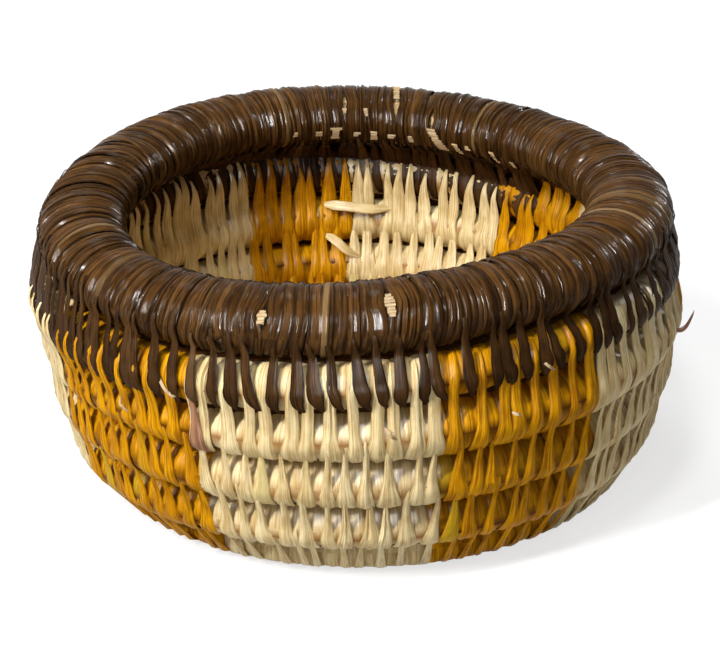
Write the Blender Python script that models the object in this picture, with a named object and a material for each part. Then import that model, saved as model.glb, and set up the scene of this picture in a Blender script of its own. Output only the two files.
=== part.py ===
"""Coiled basket: one grass coil wound from the middle of the floor, bound with leaf strips, under a thick rim.

Built in metres, +Z up. The basket stands on z = 0, its axis is the Z axis and its front looks along -Y.
A turn number runs along the coil: whole turns are counted at the left side, where each row begins.
"""

import functools
import math

import bmesh
import bpy
from mathutils import Vector

# Coil: the distance between rows, and the turns from the middle of the floor to the rim
COIL_PITCH = 0.01545
COIL_TURNS = 9
FIRST_TURN = 0.5
TAIL_SHARE = 295 / 360
HUB_RADIUS = 0.001
ROW_GAP = 0.0004
POINTS_PER_TURN = 24

# Wall profile: a flat floor, a tight heel and a long shallow bow up to the rim
FLOOR_RADIUS = 0.0675
HEEL_RADIUS = 0.013
HEEL_ANGLE = math.radians(70)
WALL_BOW_RADIUS = 0.154

# Hand-made unevenness: where rows climb, how the brim waves, how oval and three-cornered the mouth is
SEAM_AZIMUTH = math.radians(-88)
CLIMB_SHARE = 0.65
FLATTEST_SHARE = 0.25
BRIM_WAVE = 0.0026
MOUTH_OVAL = 0.0022
OVAL_AZIMUTH = math.radians(-22)
MOUTH_CORNERS = 0.001
CORNER_AZIMUTH = math.radians(45)

# Leaf wraps round the coil
WRAP_THICKNESS = 0.0013
THIN_WRAP_SHARE = 0.22
STITCH_DEPTH = 0.0005
THIN_STITCH_SHARE = 0.1
CORE_GAP = 0.00045
PANEL_GAP = 0.0005
PANEL_STITCHES = (4, 7, 9, 7, 6, 3, 5, 4, 8, 6, 9, 4)
PANEL_COLOURS = ("pale", "golden")
HEEL_TURN = 5
HEEL_WRAPS = 4
FIRST_WALL_TURN = 6
GROUND_CUT_SHARE = 0.1

# Rim: a thicker bundle bound on its own
RIM_HALF_WIDTH = 0.013
RIM_HALF_HEIGHT = 0.0098
RIM_INSET = 0.0074
RIM_WRAP_THICKNESS = 0.0016
RIM_SEAT_GAP = 0.0003
RIM_SIDES = 10
RIM_POINTS = 36
RIM_WRAPS = 6

# Cutters run past what they cut, and shares of a step this small count as nothing
OVERRUN = 0.002
SLACK_SHARE = 0.01

LEAF_COLOURS = {
    "pale": (0.76, 0.65, 0.40),
    "golden": (0.63, 0.33, 0.03),
    "dark": (0.075, 0.035, 0.016),
    "grass": (0.56, 0.42, 0.20),
}
LEAF_ROUGHNESS = {"pale": 0.42, "golden": 0.42, "dark": 0.35, "grass": 0.8}

FULL_RADIUS = (COIL_PITCH - ROW_GAP) / 2
FLOOR_HEIGHT = FULL_RADIUS * (1 - 2 * GROUND_CUT_SHARE)
HEEL_LENGTH = HEEL_RADIUS * HEEL_ANGLE
TOP_REACH = HUB_RADIUS + COIL_PITCH * COIL_TURNS
LAST_TURN = COIL_TURNS + TAIL_SHARE


def clear_scene():
    """Remove what the start-up file holds."""
    for thing in list(bpy.data.objects):
        bpy.data.objects.remove(thing)


def new_collection(name):
    """Make a collection in the scene and return it."""
    group = bpy.data.collections.new(name)
    bpy.context.scene.collection.children.link(group)
    return group


def leaf_material(name):
    """Return the finish of one leaf colour, made once."""
    found = bpy.data.materials.get(name)
    if found:
        return found
    finish = bpy.data.materials.new(name)
    finish.use_nodes = True
    shader = finish.node_tree.nodes["Principled BSDF"]
    shader.inputs["Base Color"].default_value = (*LEAF_COLOURS[name], 1)
    shader.inputs["Roughness"].default_value = LEAF_ROUGHNESS[name]
    shader.inputs["Metallic"].default_value = 0
    return finish


# Shape of the wall


def climb(turn):
    """Share of rows climbed at a turn: slow along the front, quick along the back."""
    swing = CLIMB_SHARE / math.tau
    phase = math.tau * FLATTEST_SHARE
    return turn - swing * (math.sin(math.tau * turn - phase) + math.sin(phase))


def edge_reach(turn):
    """Outer edge of the coil, measured along the profile from the axis and stopped under the rim."""
    return min(max(HUB_RADIUS + COIL_PITCH * climb(turn), HUB_RADIUS), TOP_REACH)


def profile(reach):
    """Radius, height and slope of the wall's middle line at a distance along it."""
    if reach <= FLOOR_RADIUS:
        return reach, FLOOR_HEIGHT, 0.0
    angle = min((reach - FLOOR_RADIUS) / HEEL_RADIUS, HEEL_ANGLE)
    radius = FLOOR_RADIUS + HEEL_RADIUS * math.sin(angle)
    height = FLOOR_HEIGHT + HEEL_RADIUS * (1 - math.cos(angle))
    rest = reach - FLOOR_RADIUS - HEEL_LENGTH
    if rest <= 0:
        return radius, height, angle
    slope = HEEL_ANGLE + rest / WALL_BOW_RADIUS
    radius += WALL_BOW_RADIUS * (math.sin(slope) - math.sin(HEEL_ANGLE))
    height += WALL_BOW_RADIUS * (math.cos(HEEL_ANGLE) - math.cos(slope))
    return radius, height, slope


def wave(reach, azimuth):
    """Rise of the brim's wave, which dies out within the second row from the top."""
    start = TOP_REACH - 2 * COIL_PITCH
    share = min(max((reach - start) / COIL_PITCH, 0), 1)
    return share * BRIM_WAVE * math.sin(2 * azimuth)


def oval(height, azimuth):
    """Outward shift of an oval, slightly three-cornered mouth, which fades towards the floor."""
    top = profile(TOP_REACH)[1]
    swell = MOUTH_OVAL * math.cos(2 * (azimuth - OVAL_AZIMUTH))
    swell += MOUTH_CORNERS * math.cos(3 * (azimuth - CORNER_AZIMUTH))
    return swell * max(height / top, 0)


def place(radius, height, azimuth):
    """Turn cylindrical coordinates, counted from the front, into a point."""
    radius += oval(height, azimuth)
    return Vector((radius * math.sin(azimuth), -radius * math.cos(azimuth), height))


def azimuth_of(turn):
    """Azimuth of a turn number."""
    return SEAM_AZIMUTH + math.tau * turn


def coil_centre(turn):
    """Middle of the coil, its slope in the wall and its share of the wall at a turn."""
    azimuth = azimuth_of(turn)
    low, high = edge_reach(turn - 1), edge_reach(turn)
    radius, height, slope = profile((low + high) / 2)
    lift = (wave(low, azimuth) + wave(high, azimuth)) / 2
    breadth = high - low + wave(high, azimuth) - wave(low, azimuth)
    return place(radius, height + lift, azimuth), slope, breadth


def coil_radius(turn):
    """Radius of the wrapped coil that leaves the row gap to the turns beside it."""
    centre, _, breadth = coil_centre(turn)
    fit = 1.0
    for beside in (turn - 1, turn + 1):
        if FIRST_TURN <= beside <= LAST_TURN:
            other, _, other_breadth = coil_centre(beside)
            fit = min(fit, (centre - other).length / ((breadth + other_breadth) / 2))
    return fit * breadth / 2 - ROW_GAP / 2


# The coil as a line of straight steps, which every wrap and bore shares


def step_station(number):
    """Point, radius and slope at one numbered step of the coil."""
    turn = (number + 0.5) / POINTS_PER_TURN
    centre, slope, _ = coil_centre(turn)
    return centre, coil_radius(turn), slope


def coil_station(turn):
    """Point, radius and slope on the straight step that a turn number falls in."""
    along = turn * POINTS_PER_TURN - 0.5
    number = math.floor(along)
    share = along - number
    start, end = step_station(number), step_station(number + 1)
    return tuple(a + (b - a) * share for a, b in zip(start, end))


def steps_between(first, last):
    """Turn numbers of the steps that lie inside a stretch."""
    low = math.ceil(first * POINTS_PER_TURN - 0.5)
    high = math.floor(last * POINTS_PER_TURN - 0.5)
    turns = [(number + 0.5) / POINTS_PER_TURN for number in range(low, high + 1)]
    slack = SLACK_SHARE / POINTS_PER_TURN
    return [turn for turn in turns if first + slack < turn < last - slack]


def stretch(first, last):
    """Turn numbers of a stretch of coil: its ends and the steps inside it."""
    return [first, *steps_between(first, last), last]


def turns_along(length, turn):
    """Share of a turn that a short length takes at a turn."""
    centre = coil_station(turn)[0]
    return length / (math.tau * math.hypot(centre.x, centre.y))


def stitch_depth(radius):
    """Depth of the dip between stitches."""
    return min(STITCH_DEPTH, THIN_STITCH_SHARE * radius)


def bore_radius(radius):
    """Inside of the wrap round a coil of the given outer radius."""
    return radius - stitch_depth(radius) - min(WRAP_THICKNESS, THIN_WRAP_SHARE * radius)


# Blender objects


def poly_curve(name, points, radii, tilts, cyclic=False):
    """Make a curve object on straight steps."""
    data = bpy.data.curves.new(name, "CURVE")
    data.dimensions = "3D"
    data.twist_mode = "Z_UP"
    data.use_fill_caps = not cyclic
    data.render_resolution_u = 0
    spline = data.splines.new("POLY")
    spline.points.add(len(points) - 1)
    spline.use_cyclic_u = cyclic
    for knot, point, radius, tilt in zip(spline.points, points, radii, tilts):
        knot.co = (*point, 1)
        knot.radius = radius
        knot.tilt = tilt
    return bpy.data.objects.new(name, data)


def coil_tube(name, turns, radius_of, group):
    """Make a six-sided tube along the coil, with its corners towards the rows beside it."""
    stations = [coil_station(turn) for turn in turns]
    radii = [radius_of(index, station[1]) / FULL_RADIUS for index, station in enumerate(stations)]
    tube = poly_curve(name, [s[0] for s in stations], radii, [-s[2] for s in stations])
    tube.data.bevel_depth = FULL_RADIUS
    tube.data.bevel_resolution = 1
    group.objects.link(tube)
    return tube


def as_mesh(curve, group):
    """Replace a curve object by its welded mesh and return the new object."""
    bpy.context.view_layer.update()
    depsgraph = bpy.context.evaluated_depsgraph_get()
    mesh = bpy.data.meshes.new_from_object(curve.evaluated_get(depsgraph))
    shape = bmesh.new()
    shape.from_mesh(mesh)
    bmesh.ops.remove_doubles(shape, verts=shape.verts, dist=ROW_GAP * SLACK_SHARE)
    bmesh.ops.recalc_face_normals(shape, faces=shape.faces)
    shape.to_mesh(mesh)
    shape.free()
    name = curve.name
    matrix = curve.matrix_world.copy()
    bpy.data.objects.remove(curve)
    piece = bpy.data.objects.new(name, mesh)
    piece.matrix_world = matrix
    group.objects.link(piece)
    return piece


def as_cutter(piece):
    """Mark an object as a cutter, left out of the model."""
    piece.hide_render = True
    piece.display_type = "WIRE"
    return piece


def cut(piece, cutter):
    """Take a cutter out of a piece."""
    difference = piece.modifiers.new(cutter.name, "BOOLEAN")
    difference.operation = "DIFFERENCE"
    difference.solver = "EXACT"
    difference.object = cutter


def dress(piece, colour):
    """Give a piece its finish."""
    piece.data.materials.append(leaf_material(colour))


# Coil and wraps


def add_foundation_coil(parts):
    """The grass bundle: one unbroken tube from the middle of the floor to its thin tail under the rim."""
    end_gap = turns_along(PANEL_GAP, LAST_TURN)
    turns = stretch(FIRST_TURN, LAST_TURN - end_gap)
    coil = coil_tube("foundation_coil", turns, lambda _, radius: bore_radius(radius) - CORE_GAP, parts)
    dress(coil, "grass")


def add_coil_bore(cutters):
    """The room inside the wraps, run out past both ends of the coil."""
    turns = stretch(FIRST_TURN, LAST_TURN)
    bore = coil_tube("coil_bore", turns, lambda _, radius: bore_radius(radius), cutters)
    knots = bore.data.splines[0].points
    for end, beside in ((knots[0], knots[1]), (knots[-1], knots[-2])):
        outward = (end.co - beside.co).to_3d().normalized()
        end.co = (*(end.co.to_3d() + outward * OVERRUN), 1)
    return as_cutter(as_mesh(bore, cutters))


def add_ground_cut(cutters):
    """A block under the basket that cuts the floor's underside flat."""
    size = 2 * profile(TOP_REACH)[0]
    bpy.ops.mesh.primitive_cube_add(size=size, location=(0, 0, -size / 2))
    block = bpy.context.object
    block.name = "ground_cut"
    for group in list(block.users_collection):
        group.objects.unlink(block)
    cutters.objects.link(block)
    return as_cutter(block)


def add_plain_wrap(name, first, last, parts, bore):
    """A plain sleeve round a stretch of coil, a little short of its neighbours."""
    first_gap = turns_along(PANEL_GAP, first) / 2
    last_gap = turns_along(PANEL_GAP, last) / 2
    start = first if first == FIRST_TURN else first + first_gap
    tube = coil_tube(name, stretch(start, last - last_gap), lambda _, radius: radius, parts)
    wrap = as_mesh(tube, parts)
    cut(wrap, bore)
    dress(wrap, "pale")
    return wrap


def add_floor_wraps(parts, cutters, bore):
    """The binding of the floor and of the heel round it, cut flat where the basket stands."""
    ground = add_ground_cut(cutters)
    cut(add_plain_wrap("floor_wrap", FIRST_TURN, HEEL_TURN, parts, bore), ground)
    for number in range(HEEL_WRAPS):
        first = HEEL_TURN + number / HEEL_WRAPS
        last = HEEL_TURN + (number + 1) / HEEL_WRAPS
        cut(add_plain_wrap(f"heel_wrap_{number + 1}", first, last, parts, bore), ground)


def wrap_turns(first, stitches):
    """Turn numbers of the dips and crests of a run of stitches, with a gap at both ends."""
    count = sum(PANEL_STITCHES)
    gap = turns_along(PANEL_GAP, first) / 2
    turns = [first + half / (2 * count) for half in range(2 * stitches + 1)]
    return [turns[0] + gap, *turns[1:-1], turns[-1] - gap]


def add_wall_wrap(name, colour, first, stitches, parts, bore):
    """One colour's stitches along one row: a ribbed sleeve round the coil."""

    def ribbed(index, radius):
        return radius if index % 2 else radius - stitch_depth(radius)

    tube = coil_tube(name, wrap_turns(first, stitches), ribbed, parts)
    wrap = as_mesh(tube, parts)
    cut(wrap, bore)
    dress(wrap, colour)


def add_wall_wraps(parts, bore):
    """Every colour run of every wall row, as far as the coil's tail."""
    count = sum(PANEL_STITCHES)
    for row in range(COIL_TURNS + 1 - FIRST_WALL_TURN):
        done = 0
        for number, stitches in enumerate(PANEL_STITCHES):
            first = FIRST_WALL_TURN + row + done / count
            done += stitches
            if FIRST_WALL_TURN + row + done / count > LAST_TURN + 1 / count:
                break
            colour = PANEL_COLOURS[number % len(PANEL_COLOURS)]
            name = f"row_{row + 1}_{colour}_wrap_{number // len(PANEL_COLOURS) + 1}"
            add_wall_wrap(name, colour, first, stitches, parts, bore)


# Rim


def clearing_height(turn, middle):
    """Height, less the brim's wave, at which the rim's underside clears the coil at one turn."""
    centre, radius, _ = coil_station(turn)
    azimuth = azimuth_of(turn)
    offset = math.hypot(centre.x, centre.y) - oval(centre.z, azimuth) - middle
    height = centre.z
    for number in range(POINTS_PER_TURN + 1):
        angle = math.pi * number / POINTS_PER_TURN
        across = (offset + radius * math.cos(angle)) / RIM_HALF_WIDTH
        if abs(across) < 1:
            under = RIM_HALF_HEIGHT * math.sqrt(1 - across**2)
            height = max(height, centre.z + radius * math.sin(angle) + under)
    return height - wave(TOP_REACH, azimuth)


@functools.cache
def rim_seat():
    """Radius and height of the rim's middle: its underside just clears the turn below it."""
    middle = profile(TOP_REACH - COIL_PITCH / 2)[0] - RIM_INSET
    turns = [LAST_TURN - number / POINTS_PER_TURN for number in range(POINTS_PER_TURN)]
    return middle, max(clearing_height(turn, middle) for turn in turns) + RIM_SEAT_GAP


def rim_point(share):
    """Point of the rim's middle line at a share of its round, counted from the seam."""
    radius, height = rim_seat()
    azimuth = azimuth_of(share)
    return place(radius, height + wave(TOP_REACH, azimuth), azimuth)


def rim_line(share):
    """Point on the straight step of the rim that a share falls in."""
    along = share * RIM_POINTS - 0.5
    number = math.floor(along)
    start, end = (rim_point((n + 0.5) / RIM_POINTS) for n in (number, number + 1))
    return start.lerp(end, along - number)


def rim_stretch(first, last):
    """Points of a stretch of the rim: its ends and the steps inside it."""
    low = math.ceil(first * RIM_POINTS - 0.5)
    high = math.floor(last * RIM_POINTS - 0.5)
    inner = [(number + 0.5) / RIM_POINTS for number in range(low, high + 1)]
    return [rim_line(share) for share in (first, *inner, last)]


def rim_section(name, inset, cutters):
    """The rim's oval section, drawn in from the outside by an inset."""
    data = bpy.data.curves.new(name, "CURVE")
    data.dimensions = "2D"
    spline = data.splines.new("POLY")
    spline.points.add(RIM_SIDES - 1)
    spline.use_cyclic_u = True
    for index, knot in enumerate(spline.points):
        angle = -math.tau * index / RIM_SIDES
        across = (RIM_HALF_WIDTH - inset) * math.cos(angle)
        up = (RIM_HALF_HEIGHT - inset) * math.sin(angle)
        knot.co = (across, up, 0, 1)
    section = bpy.data.objects.new(name, data)
    cutters.objects.link(section)
    return as_cutter(section)


def rim_tube(name, points, section, group, cyclic=False):
    """Sweep a section along the rim."""
    plain = [1.0] * len(points)
    level = [0.0] * len(points)
    tube = poly_curve(name, points, plain, level, cyclic)
    tube.data.bevel_mode = "OBJECT"
    tube.data.bevel_object = section
    group.objects.link(tube)
    return tube


def add_rim(parts, cutters):
    """The rim's grass bundle, open at its seam, and the dark wraps round it, one for each length of leaf."""
    round_length = math.tau * rim_seat()[0]
    gap = PANEL_GAP / round_length / 2
    outside = rim_section("rim_outside_section", 0, cutters)
    inside = rim_section("rim_inside_section", RIM_WRAP_THICKNESS, cutters)
    bundle = rim_section("rim_bundle_section", RIM_WRAP_THICKNESS + CORE_GAP, cutters)
    core = rim_tube("rim_core", rim_stretch(gap, 1 - gap), bundle, parts)
    dress(core, "grass")
    shares = [(number + 0.5) / RIM_POINTS for number in range(RIM_POINTS)]
    points = [rim_point(share) for share in shares]
    bore = as_cutter(as_mesh(rim_tube("rim_bore", points, inside, cutters, cyclic=True), cutters))
    for number in range(RIM_WRAPS):
        ends = (number / RIM_WRAPS + gap, (number + 1) / RIM_WRAPS - gap)
        tube = rim_tube(f"rim_wrap_{number + 1}", rim_stretch(*ends), outside, parts)
        wrap = as_mesh(tube, parts)
        cut(wrap, bore)
        dress(wrap, "dark")


def print_least_gap():
    """Measure the coil against itself, a turn further on, and print the least gap."""
    least = None
    for number in range(int((LAST_TURN - 1 - FIRST_TURN) * POINTS_PER_TURN)):
        turn = FIRST_TURN + (number + 0.5) / POINTS_PER_TURN
        centre, radius, _ = coil_station(turn)
        for beside in range(-2, 3):
            other, other_radius, _ = coil_station(turn + 1 + beside / POINTS_PER_TURN)
            cores = bore_radius(radius) + bore_radius(other_radius) - 2 * CORE_GAP
            gap = (other - centre).length - cores
            least = gap if least is None else min(least, gap)
    print(f"least gap of the coil to itself: {least * 1000:.2f} mm")


def main():
    """Build the basket."""
    clear_scene()
    parts = new_collection("coiled_basket")
    cutters = new_collection("cutters")
    bore = add_coil_bore(cutters)
    add_foundation_coil(parts)
    add_floor_wraps(parts, cutters, bore)
    add_wall_wraps(parts, bore)
    add_rim(parts, cutters)
    print_least_gap()


main()
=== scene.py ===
"""The looks of a coiled basket: leaf strips, stitch by stitch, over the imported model's coil and rim.

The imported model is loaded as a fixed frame. Each visible strip is a ribbon of its own with a crowned
section, laid along the coil by the same spiral as the solids, and the strips of one row and colour form
one piece. Sizes are in metres, and azimuths are counted from the front, positive to the right.
"""

import enum
import logging
import math
from dataclasses import dataclass, field

import bpy
import numpy as np
from bpy.types import Material, Node, NodeSocket, NodeTree, Object
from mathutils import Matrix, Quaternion, Vector


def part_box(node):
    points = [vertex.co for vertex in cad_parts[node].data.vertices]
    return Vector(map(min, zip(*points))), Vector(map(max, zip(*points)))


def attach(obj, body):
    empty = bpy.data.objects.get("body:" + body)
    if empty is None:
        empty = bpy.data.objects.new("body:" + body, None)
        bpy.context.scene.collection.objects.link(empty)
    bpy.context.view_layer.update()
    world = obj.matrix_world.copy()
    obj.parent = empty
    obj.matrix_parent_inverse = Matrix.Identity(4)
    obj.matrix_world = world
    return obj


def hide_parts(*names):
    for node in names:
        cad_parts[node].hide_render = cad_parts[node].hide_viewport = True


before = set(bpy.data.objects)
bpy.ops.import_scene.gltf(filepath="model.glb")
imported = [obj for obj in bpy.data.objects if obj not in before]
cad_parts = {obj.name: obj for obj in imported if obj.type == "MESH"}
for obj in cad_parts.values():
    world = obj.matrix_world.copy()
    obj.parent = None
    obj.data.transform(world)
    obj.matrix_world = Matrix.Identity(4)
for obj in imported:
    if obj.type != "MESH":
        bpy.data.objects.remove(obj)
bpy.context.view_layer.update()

log = logging.getLogger("basket")
MM = 0.001
TAU = 2 * math.pi
UP = np.array([0.0, 0.0, 1.0])
Array = np.ndarray


class Side(enum.Enum):
    """The side of the wall that a stitch lies on."""

    OUTSIDE = 1
    INSIDE = -1


class Leaf(enum.Enum):
    """The colours of leaf strip, with their material slots."""

    PALE = "pale_leaf"
    GOLDEN = "golden_leaf"
    DARK = "dark_leaf"
    REDDISH = "reddish_leaf"
    STRAW = "grass_bundle"


@dataclass(frozen=True)
class Coil:
    """The spiral of the grass coil, as the solids have it, and its unevenness."""

    pitch: float = 15.45 * MM
    turns: int = 9
    wall_turns: int = 4
    first_turn: float = 0.5
    tail_share: float = 295 / 360
    hub_radius: float = 1.0 * MM
    row_gap: float = 0.4 * MM
    floor_radius: float = 67.5 * MM
    heel_radius: float = 13.0 * MM
    heel_angle: float = math.radians(70)
    bow_radius: float = 154.0 * MM
    seam: float = math.radians(-88)
    climb_share: float = 0.65
    flattest_share: float = 0.25
    brim_wave: float = 2.6 * MM
    mouth_oval: float = 2.2 * MM
    oval_azimuth: float = math.radians(-22)
    mouth_corners: float = 1.0 * MM
    corner_azimuth: float = math.radians(45)
    floor_cut_share: float = 0.2
    panel_stitches: tuple = (5, 7, 8, 6, 7, 3, 6, 5, 7, 5, 9, 4)

    @property
    def top(self) -> float:
        """Length of the wall's profile from the axis to the rim."""
        return self.hub_radius + self.pitch * self.turns

    @property
    def floor_height(self) -> float:
        """Height of the coil's middle on the floor."""
        return (self.pitch - self.row_gap) / 2 * (1 - self.floor_cut_share)

    @property
    def heel_turn(self) -> int:
        """Turn number at which the heel starts."""
        return self.turns - self.wall_turns

    @property
    def last_turn(self) -> float:
        """Turn number of the coil's tail."""
        return self.turns + self.tail_share

    def azimuth(self, turn: Array) -> Array:
        """Azimuth of a turn number."""
        return self.seam + TAU * np.asarray(turn, float)

    def edge(self, turn: Array) -> Array:
        """Outer edge of the coil along the profile, stopped under the rim."""
        turn = np.asarray(turn, float)
        swing, phase = self.climb_share / TAU, TAU * self.flattest_share
        climbed = turn - swing * (np.sin(TAU * turn - phase) + math.sin(phase))
        return np.clip(self.hub_radius + self.pitch * climbed, self.hub_radius, self.top)

    def profile(self, reach: Array) -> tuple[Array, Array, Array]:
        """Radius, height and slope of the wall's middle line.

        Args:
            reach: distances along the profile from the axis.

        Returns:
            Arrays of radius, height and slope.
        """
        reach = np.asarray(reach, float)
        angle = np.clip((reach - self.floor_radius) / self.heel_radius, 0, self.heel_angle)
        radius = np.minimum(reach, self.floor_radius) + self.heel_radius * np.sin(angle)
        height = self.floor_height + self.heel_radius * (1 - np.cos(angle))
        rest = np.maximum(reach - self.floor_radius - self.heel_radius * self.heel_angle, 0)
        slope = angle + rest / self.bow_radius
        bowed = rest > 0
        radius += np.where(bowed, self.bow_radius * (np.sin(slope) - math.sin(self.heel_angle)), 0)
        height += np.where(bowed, self.bow_radius * (math.cos(self.heel_angle) - np.cos(slope)), 0)
        return radius, height, slope

    def wave(self, reach: Array, azimuth: Array) -> Array:
        """Rise of the brim's wave at a distance along the profile."""
        share = np.clip((np.asarray(reach) - (self.top - 2 * self.pitch)) / self.pitch, 0, 1)
        return share * self.brim_wave * np.sin(2 * azimuth)

    def oval(self, height: Array, azimuth: Array) -> Array:
        """Outward shift of the oval, slightly three-cornered mouth."""
        top = float(self.profile(self.top)[1])
        swell = self.mouth_oval * np.cos(2 * (azimuth - self.oval_azimuth))
        swell = swell + self.mouth_corners * np.cos(3 * (azimuth - self.corner_azimuth))
        return np.maximum(height / top, 0) * swell

    def centre(self, turn: Array) -> tuple[Array, Array, Array, Array]:
        """Middle of the coil.

        Args:
            turn: turn numbers.

        Returns:
            Arrays of radius, height, slope and breadth along the wall.
        """
        turn = np.asarray(turn, float)
        azimuth = self.azimuth(turn)
        low, high = self.edge(turn - 1), self.edge(turn)
        radius, height, slope = self.profile((low + high) / 2)
        low_lift, high_lift = self.wave(low, azimuth), self.wave(high, azimuth)
        height = height + (low_lift + high_lift) / 2
        breadth = high - low + high_lift - low_lift
        return radius + self.oval(height, azimuth), height, slope, breadth

    def leaf_at(self, turn: float) -> Leaf:
        """Colour of the wrap at a turn: pale and golden runs alternate round each row."""
        share = (turn % 1) * sum(self.panel_stitches)
        edges = np.cumsum(self.panel_stitches)
        return (Leaf.PALE, Leaf.GOLDEN)[int(np.searchsorted(edges, share, side="right")) % 2]


COIL = Coil()

# Points across a ribbon, as shares of its half-width.
PLAIN = (-1.0, -0.55, 0.0, 0.55, 1.0)
FINE = (-1.0, -0.7, -0.35, 0.0, 0.35, 0.7, 1.0)


def unit(vectors: Array) -> Array:
    """Vectors of the same directions with length 1."""
    return vectors / np.linalg.norm(vectors, axis=-1)[..., None]


def to_space(flat: Array, azimuth: Array) -> Array:
    """Turn radius and height at an azimuth into points."""
    azimuth = np.broadcast_to(azimuth, flat.shape[:-1])
    return np.stack([flat[..., 0] * np.sin(azimuth), -flat[..., 0] * np.cos(azimuth), flat[..., 1]], -1)


def out_of(line: Array, away: Array) -> Array:
    """Unit vectors square to a flat line, on the side away from a point."""
    along = np.gradient(line, axis=0)
    square = unit(np.stack([along[:, 1], -along[:, 0]], -1))
    return square * np.sign(np.sum(square * (line - away), axis=1).sum())


def smooth_line(knots: Array, count: int) -> Array:
    """Read a smooth line through knots.

    Args:
        knots: an array of knots, one row each.
        count: how many points to return.

    Returns:
        Points evenly spaced by knot number on a Catmull-Rom line.
    """
    padded = np.concatenate([2 * knots[:1] - knots[1:2], knots, 2 * knots[-1:] - knots[-2:-1]])
    at = np.linspace(0, len(knots) - 1, count)
    index = np.minimum(at.astype(int), len(knots) - 2)
    t = (at - index)[:, None]
    a, b, c, d = (padded[index + k] for k in range(4))
    return 0.5 * (2 * b + (c - a) * t + (2 * a - 5 * b + 4 * c - d) * t**2 + (3 * b - a - 3 * c + d) * t**3)


def ramp(value: float, span: float) -> float:
    """Share from 0 to 1 of a value that grows from 0 over a span."""
    return min(max(value / span, 0), 1)


def flank_share(azimuth: float) -> float:
    """Share of the flank's denser, higher stitches at an azimuth: all on the left, half on the right."""
    away = math.degrees((azimuth + math.pi) % TAU - math.pi)
    left = ramp(-away - 28, 30) * ramp(160 + away, 30)
    right = 0.5 * ramp(away - 50, 30) * ramp(160 - away, 30)
    return left + right


def mesh_object(name: str, points: Array, faces: list, material: Material) -> Object:
    """Make an object of points and faces and put it in the scene."""
    mesh = bpy.data.meshes.new(name)
    mesh.from_pydata(points.reshape(-1, 3).tolist(), [], faces)
    mesh.materials.append(material)
    piece = bpy.data.objects.new(name, mesh)
    bpy.context.scene.collection.objects.link(piece)
    return piece


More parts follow.
